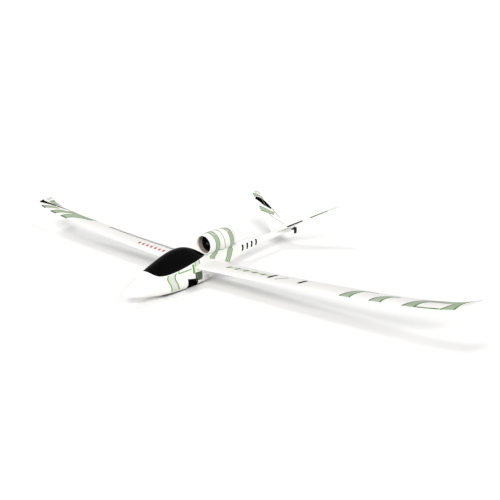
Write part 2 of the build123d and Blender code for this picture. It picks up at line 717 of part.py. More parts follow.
HANDED = {
    "wing": wing,
    "aileron": aileron,
    "aileron_horn": wing_link["horn"],
    "aileron_servo_arm": wing_link["arm"],
    "aileron_pushrod": wing_link["rod"],
    "tail_fin": fin,
    "ruddervator": tilt_fin(rudder),
    "ruddervator_horn": tilt_fin(fin_link["horn"]),
    "ruddervator_servo_arm": tilt_fin(fin_link["arm"]),
    "ruddervator_pushrod": tilt_fin(fin_link["rod"]),
}
for name, shape in HANDED.items():
    save(f"{name}_left", shape)
    save(f"{name}_right", mirror_x(shape))
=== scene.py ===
"""Looks of the V-tail ducted-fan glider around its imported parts: finishes, markings, floor and light."""

import math

import bmesh
import bpy
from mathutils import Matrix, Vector
from mathutils.bvhtree import BVHTree


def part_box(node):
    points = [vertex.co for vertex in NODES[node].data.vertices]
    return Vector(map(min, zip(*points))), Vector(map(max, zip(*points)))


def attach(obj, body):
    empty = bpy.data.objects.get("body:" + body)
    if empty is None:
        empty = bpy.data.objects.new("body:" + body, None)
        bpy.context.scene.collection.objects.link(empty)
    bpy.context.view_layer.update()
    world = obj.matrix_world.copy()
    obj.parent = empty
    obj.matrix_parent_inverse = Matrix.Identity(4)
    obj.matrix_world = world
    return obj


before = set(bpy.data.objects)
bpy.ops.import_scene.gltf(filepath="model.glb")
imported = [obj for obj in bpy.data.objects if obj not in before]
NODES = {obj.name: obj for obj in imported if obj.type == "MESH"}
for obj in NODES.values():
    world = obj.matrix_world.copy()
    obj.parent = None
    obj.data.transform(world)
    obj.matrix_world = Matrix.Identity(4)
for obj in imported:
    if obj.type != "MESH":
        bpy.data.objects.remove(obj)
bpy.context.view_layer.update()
MM = 0.001

# plan of the lifting surfaces in the frame, mm: distance out, leading edge, trailing edge (aft of the nose)
NOSE_Y = 495.0
WING_PLAN = [
    (28, 291.0, 400.0), (150, 291.0, 400.0), (300, 292.0, 396.5), (450, 293.5, 389.5), (600, 298.0, 383.5),
    (720, 301.5, 379.5), (820, 306.0, 384.0), (890, 315.0, 395.0), (935, 326.0, 405.5), (965, 342.0, 421.0),
    (985, 366.0, 440.0), (995, 396.0, 455.0), (1000, 428.0, 466.0),
]
FIN_PLAN = [
    (4, 803.0, 918.0), (90, 851.0, 938.0), (180, 902.0, 966.0), (232, 931.5, 984.0), (250, 947.0, 989.0),
]
FIN_TILT = math.radians(28.0)
FIN_FOOT = 86.0
DUCT_AXIS = 136.0


# ---------------------------------------------------------------- material tools
# depth of the relief in metres
BEAD_DEPTH = 0.0004
SPARK_DEPTH = 0.0001
PEEL_DEPTH = 0.0003
LINE_DEPTH = 0.00005
THREAD_DEPTH = 0.0002
GRAIN_DEPTH = 0.0002


def new_material(name):
    """A material with a Principled shader; returns it with its nodes, links and shader."""
    material = bpy.data.materials.new(name)
    material.use_nodes = True
    tree = material.node_tree
    shader = tree.nodes["Principled BSDF"]
    return material, tree.nodes, tree.links, shader


def noise(nodes, links, coordinates, scale, detail=3.0):
    """Cloudy noise over the surface, from 0 to 1."""
    node = nodes.new("ShaderNodeTexNoise")
    node.inputs["Scale"].default_value = scale
    node.inputs["Detail"].default_value = detail
    links.new(coordinates, node.inputs["Vector"])
    return node.outputs["Fac"]


def cells(nodes, links, coordinates, scale):
    """Distance to the nearest of many scattered points: packed beads."""
    node = nodes.new("ShaderNodeTexVoronoi")
    node.feature = "F1"
    node.inputs["Scale"].default_value = scale
    links.new(coordinates, node.inputs["Vector"])
    return node.outputs["Distance"]


def ramp(nodes, links, value, stops):
    """A colour taken from stops of (position, colour)."""
    node = nodes.new("ShaderNodeValToRGB")
    node.color_ramp.elements[0].position = stops[0][0]
    node.color_ramp.elements[0].color = (*stops[0][1], 1)
    node.color_ramp.elements[1].position = stops[-1][0]
    node.color_ramp.elements[1].color = (*stops[-1][1], 1)
    for position, colour in stops[1:-1]:
        node.color_ramp.elements.new(position).color = (*colour, 1)
    links.new(value, node.inputs["Fac"])
    return node.outputs["Color"]


def spread(colour, amount):
    """One colour made a little darker and a little lighter."""
    return tuple(c * (1 - amount) for c in colour), tuple(min(1.0, c * (1 + amount)) for c in colour)


def bump(nodes, links, shader, height, strength, distance):
    """Relief of a height pattern on a shader."""
    node = nodes.new("ShaderNodeBump")
    node.inputs["Strength"].default_value = strength
    node.inputs["Distance"].default_value = distance
    links.new(height, node.inputs["Height"])
    links.new(node.outputs["Normal"], shader.inputs["Normal"])


def roughness(nodes, links, shader, value, low, high):
    """Roughness between two values, following a pattern."""
    node = nodes.new("ShaderNodeMapRange")
    node.inputs["To Min"].default_value = low
    node.inputs["To Max"].default_value = high
    links.new(value, node.inputs["Value"])
    links.new(node.outputs["Result"], shader.inputs["Roughness"])


def object_coordinates(nodes):
    return nodes.new("ShaderNodeTexCoord").outputs["Object"]


def foam(name, colour, gloss=0.42, bead=330.0, relief=0.16, mottling=0.02, shine=0.2):
    """Moulded particle foam: beads a few mm across pressed flat, with a thin satin skin."""
    material, nodes, links, shader = new_material(name)
    coordinates = object_coordinates(nodes)
    beads = cells(nodes, links, coordinates, bead)
    broad = noise(nodes, links, coordinates, 9.0)
    low, high = spread(colour, mottling)
    links.new(ramp(nodes, links, broad, [(0.3, low), (0.7, high)]), shader.inputs["Base Color"])
    roughness(nodes, links, shader, broad, gloss - 0.05, gloss + 0.08)
    shader.inputs["Specular IOR Level"].default_value = shine
    bump(nodes, links, shader, beads, relief, BEAD_DEPTH)
    return material


def moulded(name, colour, low_rough=0.35, high_rough=0.5, grain=900.0, relief=0.2, shine=0.3):
    """Injection-moulded plastic with a fine spark texture."""
    material, nodes, links, shader = new_material(name)
    coordinates = object_coordinates(nodes)
    grit = noise(nodes, links, coordinates, grain, 5.0)
    broad = noise(nodes, links, coordinates, 30.0)
    low, high = spread(colour, 0.12)
    links.new(ramp(nodes, links, broad, [(0.3, low), (0.7, high)]), shader.inputs["Base Color"])
    roughness(nodes, links, shader, broad, low_rough, high_rough)
    shader.inputs["Specular IOR Level"].default_value = shine
    bump(nodes, links, shader, grit, relief, SPARK_DEPTH)
    return material


def lacquer(name, colour, coat=1.0, shine=0.4):
    """Polished clear-coated shell with a trace of orange peel and fine dust."""
    material, nodes, links, shader = new_material(name)
    coordinates = object_coordinates(nodes)
    peel = noise(nodes, links, coordinates, 160.0)
    dust = noise(nodes, links, coordinates, 24.0, 8.0)
    low, high = spread(colour, 0.25)
    links.new(ramp(nodes, links, dust, [(0.35, low), (0.75, high)]), shader.inputs["Base Color"])
    roughness(nodes, links, shader, dust, 0.06, 0.15)
    shader.inputs["Coat Weight"].default_value = coat
    shader.inputs["Coat Roughness"].default_value = 0.04
    shader.inputs["Specular IOR Level"].default_value = shine
    bump(nodes, links, shader, peel, 0.05, PEEL_DEPTH)
    return material


def metal(name, colour, low_rough, high_rough, stretch):
    """Drawn or turned metal, its fine lines stretched along one direction."""
    material, nodes, links, shader = new_material(name)
    mapping = nodes.new("ShaderNodeMapping")
    mapping.inputs["Scale"].default_value = stretch
    links.new(object_coordinates(nodes), mapping.inputs["Vector"])
    lines = noise(nodes, links, mapping.outputs["Vector"], 400.0, 2.0)
    low, high = spread(colour, 0.15)
    links.new(ramp(nodes, links, lines, [(0.3, low), (0.7, high)]), shader.inputs["Base Color"])
    roughness(nodes, links, shader, lines, low_rough, high_rough)
    shader.inputs["Metallic"].default_value = 1.0
    bump(nodes, links, shader, lines, 0.08, LINE_DEPTH)
    return material


def woven(name, dark, light, scale, rough=0.3, coat=0.0):
    """Two crossing sets of threads, for carbon cloth and webbing."""
    material, nodes, links, shader = new_material(name)
    coordinates = object_coordinates(nodes)
    threads = []
    for direction in ("X", "Y"):
        wave = nodes.new("ShaderNodeTexWave")
        wave.bands_direction = direction
        wave.inputs["Scale"].default_value = scale
        wave.inputs["Distortion"].default_value = 0.4
        links.new(coordinates, wave.inputs["Vector"])
        threads.append(wave.outputs["Fac"])
    crossing = nodes.new("ShaderNodeMath")
    crossing.operation = "MULTIPLY"
    links.new(threads[0], crossing.inputs[0])
    links.new(threads[1], crossing.inputs[1])
    links.new(ramp(nodes, links, crossing.outputs[0], [(0.1, dark), (0.8, light)]), shader.inputs["Base Color"])
    roughness(nodes, links, shader, crossing.outputs[0], rough, rough + 0.2)
    shader.inputs["Coat Weight"].default_value = coat
    bump(nodes, links, shader, crossing.outputs[0], 0.3, THREAD_DEPTH)
    return material


def plywood(name):
    """Laser-cut birch ply with grain along the body."""
    material, nodes, links, shader = new_material(name)
    mapping = nodes.new("ShaderNodeMapping")
    mapping.inputs["Scale"].default_value = (1.0, 0.08, 1.0)
    links.new(object_coordinates(nodes), mapping.inputs["Vector"])
    grain = noise(nodes, links, mapping.outputs["Vector"], 320.0, 6.0)
    stops = [(0.3, (0.46, 0.31, 0.16)), (0.55, (0.66, 0.48, 0.28)), (0.75, (0.74, 0.58, 0.37))]
    links.new(ramp(nodes, links, grain, stops), shader.inputs["Base Color"])
    roughness(nodes, links, shader, grain, 0.55, 0.75)
    bump(nodes, links, shader, grain, 0.2, GRAIN_DEPTH)
    return material


# colours, linear
WHITE = (0.835, 0.83, 0.81)
SAGE = (0.37, 0.415, 0.33)
MOSS = (0.34, 0.425, 0.29)
DEEP_GREEN = (0.045, 0.16, 0.03)
LEAF_GREEN = (0.12, 0.34, 0.05)
PALE_GREEN = (0.55, 0.66, 0.42)
GREY = (0.22, 0.215, 0.20)
LIGHT_GREY = (0.62, 0.61, 0.59)
INK = (0.002, 0.002, 0.002)
RED = (0.56, 0.03, 0.07)

MATERIALS = {
    "foam": foam("foam_white", WHITE),
    "canopy": lacquer("canopy_lacquer", (0.001, 0.001, 0.0012), 0.06, 0.04),
    "black": moulded("black_moulding", (0.006, 0.006, 0.007), shine=0.15),
    "fan": moulded("fan_glass_nylon", (0.003, 0.003, 0.004), 0.5, 0.65, shine=0.15),
    "spinner": lacquer("spinner_gloss", (0.008, 0.008, 0.009), 0.6),
    "beige": moulded("duct_beige", (0.28, 0.24, 0.20), 0.45, 0.6),
    "carbon": woven("carbon_cloth", (0.008, 0.008, 0.009), (0.05, 0.05, 0.055), 260.0, 0.25, 0.6),
    "steel": metal("drawn_steel", (0.58, 0.58, 0.60), 0.22, 0.4, (1.0, 0.05, 1.0)),
    "can": metal("motor_can", (0.45, 0.46, 0.50), 0.25, 0.42, (1.0, 1.0, 0.06)),
    "nickel": metal("nickel_plate", (0.66, 0.64, 0.60), 0.14, 0.26, (1.0, 1.0, 1.0)),
    "ply": plywood("birch_ply"),
    "wrap": lacquer("heat_shrink_blue", (0.03, 0.08, 0.26), 0.5),
    "strap": woven("strap_webbing", (0.006, 0.006, 0.006), (0.05, 0.05, 0.05), 420.0, 0.75),
    "nylon": moulded("nylon_white", (0.78, 0.78, 0.75), 0.4, 0.55),
    "servo": lacquer("servo_case_blue", (0.02, 0.07, 0.25), 0.4),
    "case": moulded("receiver_case", (0.03, 0.03, 0.034), 0.4, 0.55),
    "film": lacquer("tube_sheet", (0.68, 0.68, 0.66), 0.3),
    "sage": foam("mark_sage", SAGE, 0.38, relief=0.12, mottling=0.08),
    "moss": foam("mark_moss", MOSS, 0.38, relief=0.12, mottling=0.08),
    "drab": foam("mark_drab_green", (0.082, 0.107, 0.072), 0.34, relief=0.12, mottling=0.10),
    "deep": foam("mark_deep_green", DEEP_GREEN, 0.34, relief=0.12, mottling=0.12),
    "leaf": foam("mark_leaf_green", LEAF_GREEN, 0.34, relief=0.12, mottling=0.08),
    "pale": foam("mark_pale_green", PALE_GREEN, 0.38, relief=0.12, mottling=0.06),
    "grey": foam("mark_grey", GREY, 0.38, relief=0.12, mottling=0.06),
    "silver": foam("mark_light_grey", LIGHT_GREY, 0.38, relief=0.12, mottling=0.05),
    "ink": foam("mark_black", INK, 0.45, relief=0.10, mottling=0.2, shine=0.0),
    "red": foam("mark_red", RED, 0.34, relief=0.12, mottling=0.08),
}

# material of each CAD node by its name, then by a part of its name; the rest is white foam
FINISH = {
    "canopy_shell": "canopy", "canopy_frame": "black", "canopy_magnets": "nickel", "fuselage_magnets": "nickel",
    "magnet_bridge": "ply", "equipment_tray": "ply", "tray_formers": "ply", "battery": "wrap",
    "battery_strap": "strap", "speed_controller": "black", "receiver": "case", "belly_skid": "black",
    "tail_bumper": "black", "duct_liner": "beige", "fan_shroud": "black", "motor": "can",
    "motor_tail_cone": "black", "thrust_tube": "film", "fan_rotor": "fan", "fan_shaft": "steel",
    "spinner": "spinner", "wing_joiner": "carbon", "wing_pins": "carbon", "wing_screws": "steel",
    "wing_spars": "carbon", "aileron_hinge_wires": "steel", "ruddervator_hinge_wires": "steel",
    "aileron_servos": "servo", "ruddervator_servos": "servo", "aileron_servo_covers": "nylon",
    "ruddervator_servo_covers": "nylon",
}
ENDINGS = (("_horn_", "black"), ("_servo_arm_", "nylon"), ("_pushrod_", "steel"))


def finish_of(node):
    """Which material a CAD node wears."""
    for part, finish in ENDINGS:
        if part in node:
            return finish
    return FINISH.get(node, "foam")


for node_name, node_object in NODES.items():
    node_object.data.materials.clear()
    node_object.data.materials.append(MATERIALS[finish_of(node_name)])


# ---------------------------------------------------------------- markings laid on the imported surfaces
LIFT = 0.10 * MM
# each marking lies a hair above the one laid before it
LIFT_STEP = 0.025 * MM
LIFT_STEPS = 5
LAID = []
THICK = 0.10 * MM
CUT_TOLERANCE = 1e-6
# columns of a marking from edge to edge, with and without an outline in a second finish
EDGE_SHARE = 0.14
EDGED = (0.0, EDGE_SHARE, 0.25, 0.4, 0.55, 0.7, 1 - EDGE_SHARE, 1.0)
PLAIN = (0.0, 0.25, 0.5, 0.75, 1.0)
ROWS = 26
POD_ROWS = 90
# distance a search ray starts from, well outside the model
FAR = 0.4
# share of the chord that wraps round the leading edge, and the slices it is bent over
NOSE_SHARE = 0.07
NOSE_SLICES = [index * 0.01 for index in range(-5, 8)]


def tree_of(*names):
    """One search tree over the rest meshes of several nodes."""
    vertices = []
    polygons = []
    for name in names:
        mesh = NODES[name].data
        base = len(vertices)
        vertices.extend(v.co.copy() for v in mesh.vertices)
        polygons.extend([base + i for i in p.vertices] for p in mesh.polygons)
    return BVHTree.FromPolygons(vertices, polygons)


def plan_edges(plan, distance):
    """Stations of the leading and trailing edge at a distance out."""
    for first, second in zip(plan, plan[1:]):
        if first[0] <= distance <= second[0]:
            share = (distance - first[0]) / (second[0] - first[0])
            return tuple(a + share * (b - a) for a, b in zip(first[1:], second[1:]))
    return plan[0][1:] if distance < plan[0][0] else plan[-1][1:]


def skin_ray(plan, tree, foot, outward, normal):
    """Looks square at a wing or fin, and round its leading edge: (distance out, station) to a ray."""
    def ray(out, station):
        le, te = plan_edges(plan, out)
        share = (station - le) / (te - le)
        seen = le + (te - le) * max(share, NOSE_SHARE)
        ground = foot + outward * out * MM + Vector((0, (seen - NOSE_Y) * MM, 0))
        if share >= NOSE_SHARE:
            return ground + normal * FAR, -normal
        above = tree.ray_cast(ground + normal * FAR, -normal)[0]
        below = tree.ray_cast(ground - normal * FAR, normal)[0]
        if above is None or below is None:
            return ground + normal * FAR, -normal
        turn = (NOSE_SHARE - share) / NOSE_SHARE * math.pi / 2
        away = normal * math.cos(turn) - Vector((0, math.sin(turn), 0))
        return (above + below) / 2 + away * FAR, -away
    return ray


def wing_ray(side, tree):
    """Rays onto the wing of one side."""
    return skin_ray(WING_PLAN, tree, Vector((0, 0, 0)), Vector((side, 0, 0)), Vector((0, 0, 1)))


def fin_ray(side, tree):
    """Rays onto the tilted tail fin of one side."""
    outward = Vector((side * math.cos(FIN_TILT), 0, math.sin(FIN_TILT)))
    normal = Vector((-side * math.sin(FIN_TILT), 0, math.cos(FIN_TILT)))
    return skin_ray(FIN_PLAN, tree, Vector((0, 0, FIN_FOOT * MM)), outward, normal)


def side_ray(side):
    """Looks at the body from the side: (station, height) to a ray."""
    def ray(station, height):
        return Vector((side * FAR, (station - NOSE_Y) * MM, height * MM)), Vector((-side, 0, 0))
    return ray


def pod_ray(side):
    """Wraps the nacelle: mm below the duct axis, or minus the degrees above it, to a ray."""
    def ray(station, drop):
        y = (station - NOSE_Y) * MM
        if drop >= 0:
            return Vector((side * FAR, y, (DUCT_AXIS - drop) * MM)), Vector((-side, 0, 0))
        angle = math.radians(-drop)
        away = Vector((side * math.cos(angle), 0, math.sin(angle)))
        return Vector((0, y, DUCT_AXIS * MM)) + away * FAR, -away
    return ray


def curve_through(points, count):
    """Points on a smooth curve through a few points, count of them."""
    padded = [points[0], *points, points[-1]]
    spans = len(points) - 1
    found = []
    for index in range(count):
        place = index / (count - 1) * spans
        span = min(int(place), spans - 1)
        t = place - span
        a, b, c, d = padded[span:span + 4]
        found.append(tuple(
            0.5 * (2 * q + (r - p) * t + (2 * p - 5 * q + 4 * r - s) * t * t + (3 * q - p - 3 * r + s) * t ** 3)
            for p, q, r, s in zip(a, b, c, d)))
    return found


def ribbon(first_edge, second_edge, shares, count=ROWS):
    """Grid in surface coordinates between two edges, as bmesh; each face keeps the strip it lies in."""
    one = curve_through(first_edge, count)
    two = curve_through(second_edge, count)
    mesh = bmesh.new()
    rows = []
    for a, b in zip(one, two):
        rows.append([mesh.verts.new((a[0] + (b[0] - a[0]) * s, a[1] + (b[1] - a[1]) * s, 0)) for s in shares])
    for upper, lower in zip(rows, rows[1:]):
        for column in range(len(shares) - 1):
            face = mesh.faces.new((upper[column], upper[column + 1], lower[column + 1], lower[column]))
            middle = (shares[column] + shares[column + 1]) / 2
            face.material_index = 0 if EDGE_SHARE < middle < 1 - EDGE_SHARE else 1
    return mesh


def lay(name, mesh, ray, tree, body, finishes, keep=None):
    """Project a flat marking onto a surface, give it a thin skin and let it ride on a body."""
    lift = LIFT + LIFT_STEP * (len(LAID) % LIFT_STEPS)
    LAID.append(name)
    for vertex in list(mesh.verts):
        origin, direction = ray(vertex.co.x, vertex.co.y)
        place, normal, _, _ = tree.ray_cast(origin, direction)
        if place is None:
            mesh.verts.remove(vertex)
            continue
        facing = normal if normal.dot(direction) < 0 else -normal
        vertex.co = place + facing * lift
    if keep:
        gone = [face for face in mesh.faces if not keep(face.calc_center_median())]
        bmesh.ops.delete(mesh, geom=gone, context="FACES")
    if not mesh.faces:
        mesh.free()
        return
    bmesh.ops.recalc_face_normals(mesh, faces=mesh.faces)
    sample = mesh.faces[len(mesh.faces) // 2]
    origin, direction = sample.calc_center_median(), sample.normal
    inward = tree.ray_cast(origin + direction * lift, -direction, 5 * lift)[0]
    if inward is None:
        bmesh.ops.reverse_faces(mesh, faces=mesh.faces)
    data = bpy.data.meshes.new(name)
    mesh.to_mesh(data)
    mesh.free()
    for finish in finishes:
        data.materials.append(MATERIALS[finish])
    for polygon in data.polygons:
        polygon.use_smooth = True
    piece = bpy.data.objects.new(name, data)
    bpy.context.scene.collection.objects.link(piece)
    skin = piece.modifiers.new("skin", "SOLIDIFY")
    skin.thickness = THICK
    skin.offset = 1.0
    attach(piece, body)


def cut_at(mesh, point, normal):
    """Divide a mesh along a plane, keeping both sides."""
    bmesh.ops.bisect_plane(mesh, geom=list(mesh.verts) + list(mesh.edges) + list(mesh.faces),
                           plane_co=point, plane_no=normal, dist=CUT_TOLERANCE)


# search trees of the surfaces that carry markings
TREES = {}
for side_name in ("left", "right"):
    for part in ("wing", "aileron", "tail_fin", "ruddervator"):
        node_name = f"{part}_{side_name}"
        TREES[node_name] = tree_of(node_name)
TREES["pod"] = tree_of("nacelle", "fuselage_left", "fuselage_right")
TREES["hatch"] = tree_of("fan_hatch")
TREES["side"] = tree_of("fuselage_left", "fuselage_right")
SIDES = {"left": 1, "right": -1}
# where each hinged surface lies, with the fixed part it is cut from
AILERON = {"span": (560.0, 880.0), "share": 0.74, "fixed": "wing", "moving": "aileron", "ray": wing_ray}
RUDDER = {"span": (22.0, 228.0), "share": 0.62, "fixed": "tail_fin", "moving": "ruddervator", "ray": fin_ray}
PLANS = {"wing": WING_PLAN, "tail_fin": FIN_PLAN}
# rounded nose of a moving surface, gap ahead of it and gap at its ends, mm
NOSE_RADIUS = 2.6
HINGE_GAP = 0.6
# distances ahead of the hinge line where a marking bends round the rounded nose of a moving surface
HINGE_BENDS = (2.35, 2.1, 1.7, 1.1, 0.0)
END_GAP = 1.0


def lay_on_surface(name, make, side_name, surface, finishes):
    """Lay a marking on a wing or fin, divided cleanly between the fixed part and its hinged surface."""
    side = SIDES[side_name]
    low, high = surface["span"]
    plan = PLANS[surface["fixed"]]
    hinge = []
    for out in (low, high):
        le, te = plan_edges(plan, out)
        hinge.append(Vector((out, le + (te - le) * surface["share"], 0)))
    along = hinge[1] - hinge[0]
    across = Vector((-along.y, along.x, 0)).normalized()
    for kind in ("fixed", "moving"):
        node_name = f"{surface[kind]}_{side_name}"
        ahead = NOSE_RADIUS + HINGE_GAP if kind == "fixed" else HINGE_BENDS[0]
        edge = hinge[0] - across * ahead
        room = END_GAP if kind == "moving" else 0.0
        mesh = make()
        for slice_share in NOSE_SLICES:
            cut_at(mesh, (0, slice_share, 0), (0, 1, 0))
        for vertex in mesh.verts:
            le, te = plan_edges(plan, vertex.co.x)
            vertex.co.y = le + (te - le) * vertex.co.y
        cut_at(mesh, (low + room, 0, 0), (1, 0, 0))
        cut_at(mesh, (high - room, 0, 0), (1, 0, 0))
        cut_at(mesh, edge, across)
        if kind == "moving":
            for bend in HINGE_BENDS[1:]:
                cut_at(mesh, hinge[0] - across * bend, across)
        gone = []
        for face in mesh.faces:
            middle = face.calc_center_median()
            inside = low + room < middle.x < high - room and (middle - edge).dot(across) > 0
            if inside != (kind == "moving"):
                gone.append(face)
        bmesh.ops.delete(mesh, geom=gone, context="FACES")
        loose = [vertex for vertex in mesh.verts if not vertex.link_faces]
        bmesh.ops.delete(mesh, geom=loose, context="VERTS")
        if not mesh.faces:
            mesh.free()
            continue
        body = "airframe" if kind == "fixed" else node_name
        ray = surface["ray"](side, TREES[node_name])
        lay(f"{name}_{surface[kind]}_{side_name}", mesh, ray, TREES[node_name], body, finishes)


def flat(first, second, shares=PLAIN):
    """A maker of fresh ribbons, one for each part the marking is divided between."""
    return lambda: ribbon(first, second, shares)


# Each marking: name, first edge, second edge, columns, finishes. On wings and fins an edge point is
# (distance out, share of the chord); a negative share lies under the leading edge.
# left wing: three hooks from the leading edge and a band that closes them at the tip
LEFT_WING = [
    ("hook_inner", [(626, -0.03), (633, 0.07), (641, 0.31), (652, 0.57), (666, 0.76), (690, 0.84)],
     [(666, -0.03), (667, 0.07), (670, 0.25), (674, 0.48), (682, 0.70), (700, 0.80)], EDGED, ("sage", "deep")),
    ("line_inner", [(690, 0.82), (725, 0.78)], [(690, 0.86), (726, 0.83)], PLAIN, ("grey",)),
    ("hook_middle", [(725, -0.03), (729, 0.07), (736, 0.27), (748, 0.48), (764, 0.66), (792, 0.76)],
     [(765, -0.03), (765, 0.07), (767, 0.22), (771, 0.39), (780, 0.57), (800, 0.70)], EDGED, ("sage", "deep")),
    ("hook_outer", [(824, -0.03), (830, 0.07), (837, 0.26), (848, 0.52), (864, 0.74), (890, 0.86), (930, 0.90)],
     [(865, -0.03), (865, 0.07), (868, 0.22), (873, 0.40), (884, 0.56), (902, 0.60), (930, 0.58)],
     EDGED, ("sage", "deep")),
    ("band_tip", [(927, -0.03), (932, 0.08), (938, 0.24), (943, 0.42), (948, 0.62), (955, 0.84), (966, 0.98)],
     [(965, -0.03), (966, 0.08), (967, 0.24), (968, 0.42), (971, 0.62), (976, 0.82), (984, 0.98)],
     EDGED, ("moss", "deep")),
    ("band_join", [(928, 0.58), (944, 0.56)], [(928, 0.90), (954, 0.88)], PLAIN, ("moss",)),
    # deep green line along the leading edge from the outer hook to the tip band: painted shade, standing for
    # the dark underside of the leading edge where the wing curves up
    ("line_edge", [(866, 0.0), (898, 0.0), (927, 0.0)], [(866, 0.025), (898, 0.025), (927, 0.025)],
     PLAIN, ("deep",)),
    ("slash_a", [(335, 0.34), (340, 0.78)], [(347, 0.34), (352, 0.78)], PLAIN, ("ink",)),
    ("slash_b", [(368, 0.32), (395, 0.72)], [(374, 0.32), (401, 0.72)], PLAIN, ("grey",)),
    ("slash_c", [(457, 0.34), (462, 0.80)], [(468, 0.34), (473, 0.80)], PLAIN, ("ink",)),
]
# right wing: hooks that run inboard along the trailing edge, a black band and a green corner at the tip
RIGHT_WING = [
    ("end_inner", [(758, -0.03), (754, 0.05)], [(715, -0.03), (711, 0.05)], PLAIN, ("drab",)),
    ("end_middle", [(837, -0.03), (833, 0.05)], [(794, -0.03), (791, 0.05)], PLAIN, ("drab",)),
    ("end_outer", [(923, -0.03), (919, 0.05)], [(883, -0.03), (880, 0.05)], PLAIN, ("drab",)),
    ("hook_inner", [(754, 0.05), (752, 0.12), (746, 0.36), (728, 0.60), (700, 0.70), (660, 0.76)],
     [(711, 0.05), (707, 0.12), (692, 0.34), (668, 0.54), (640, 0.64), (610, 0.72)], EDGED, ("moss", "deep")),
    ("hook_middle", [(833, 0.05), (830, 0.12), (815, 0.44), (780, 0.68), (745, 0.80)],
     [(791, 0.05), (788, 0.12), (778, 0.30), (755, 0.56), (728, 0.66)], EDGED, ("moss", "deep")),
    ("hook_outer", [(919, 0.05), (915, 0.10), (905, 0.20), (882, 0.42), (850, 0.62)],
     [(880, 0.05), (877, 0.09), (870, 0.16), (854, 0.34), (828, 0.56)], EDGED, ("moss", "deep")),
    ("band_black", [(990, 0.02), (978, 0.22), (958, 0.38), (925, 0.58), (880, 0.76), (830, 0.90), (795, 0.97)],
     [(966, -0.03), (955, 0.10), (935, 0.26), (900, 0.48), (860, 0.68), (820, 0.84), (788, 0.95)],
     PLAIN, ("ink",)),
    ("corner_tip", [(950, 0.62), (957, 0.985)], [(900, 0.72), (866, 0.985)], EDGED, ("moss", "deep")),
    ("field_green", [(782, 0.74), (740, 0.62), (690, 0.58), (650, 0.68), (606, 0.90)],
     [(782, 0.985), (740, 0.985), (690, 0.985), (650, 0.985), (606, 0.985)], PLAIN, ("moss",)),
    # light grey patch at the tip: painted shade, standing for the shading of an upturned tip, laid on a tip
    # that stays flat
    ("tip_grey", [(985, 0.30), (978, 0.42), (958, 0.60)], [(996, 0.34), (992, 0.56), (984, 0.76)],
     PLAIN, ("silver",)),
]
# right fin: a green tip, a black lens and a sage patch; left fin: what shows round its leading edge
RIGHT_FIN = [
    ("tip_green", [(244, -0.02), (236, 0.30), (222, 0.60), (204, 0.84)],
     [(216, -0.02), (221, 0.16), (210, 0.54), (188, 0.80)], EDGED, ("moss", "drab")),
    ("lens_black", [(218, 0.14), (205, 0.52), (176, 0.82), (128, 0.95)],
     [(206, -0.02), (184, 0.22), (156, 0.44), (122, 0.84)], PLAIN, ("ink",)),
    ("patch_sage", [(164, -0.03), (148, 0.26), (124, 0.56), (98, 0.90)],
     [(131, -0.03), (122, 0.14), (104, 0.40), (86, 0.70)], EDGED, ("moss", "drab")),
    ("line_rear", [(124, 0.92), (90, 0.94), (60, 0.96)], [(124, 0.985), (90, 0.985), (60, 0.985)],
     PLAIN, ("grey",)),
    ("line_root", [(109, 0.40), (90, 0.48), (74, 0.54), (20, 0.91)],
     [(106, 0.43), (87, 0.52), (71, 0.59), (17, 0.95)], PLAIN, ("grey",)),
    ("tip_silver", [(252, 0.20), (250, 0.50), (246, 0.90)], [(241, 0.30), (230, 0.64), (218, 0.88)],
     PLAIN, ("silver",)),
]
LEFT_FIN = [
    ("edge_dark", [(60, -0.045), (120, -0.045)], [(57, 0.14), (116, 0.14)], PLAIN, ("ink",)),
    ("field_green", [(150, -0.05), (182, -0.05), (216, -0.05)], [(142, 0.70), (172, 0.60), (206, 0.50)],
     EDGED, ("sage", "deep")),
    ("field_grey", [(218, -0.05), (250, -0.04)], [(208, 0.70), (244, 0.80)], PLAIN, ("silver",)),
]
for side_name, markings, surface in (("left", LEFT_WING, AILERON), ("right", RIGHT_WING, AILERON),
                                     ("left", LEFT_FIN, RUDDER), ("right", RIGHT_FIN, RUDDER)):
    for name, first, second, shares, finishes in markings:
        lay_on_surface(f"mark_{name}", flat(first, second, shares), side_name, surface, finishes)

# rows of plain dashes where a maker would put lettering: piece name, side, count, start and step along the
# wing, the first dash's two edges measured from the start, and the finishes taken in turn
DASH_ROWS = [
    ("dash", "left", 10, 146, 19, [(0, 0.44), (13, 0.44)], [(4, 0.66), (17, 0.66)], ("grey", "pale")),
    ("dash", "right", 18, 160, 20, [(0, 0.74), (13, 0.74)], [(-4, 0.90), (9, 0.90)], ("grey",)),
    ("red", "right", 7, 146, 22, [(0, 0.27), (8, 0.45)], [(9, 0.27), (17, 0.45)], ("red",)),
]


def moved(edge, along):
    """An edge shifted along its first coordinate."""
    return [(first + along, second) for first, second in edge]


for name, side_name, count, begin, step, first, second, finishes in DASH_ROWS:
    for index in range(count):
        start = begin + index * step
        make = flat(moved(first, start), moved(second, start))
        finish = finishes[index % len(finishes)]
        lay_on_surface(f"mark_{name}_{index}", make, side_name, AILERON, (finish,))

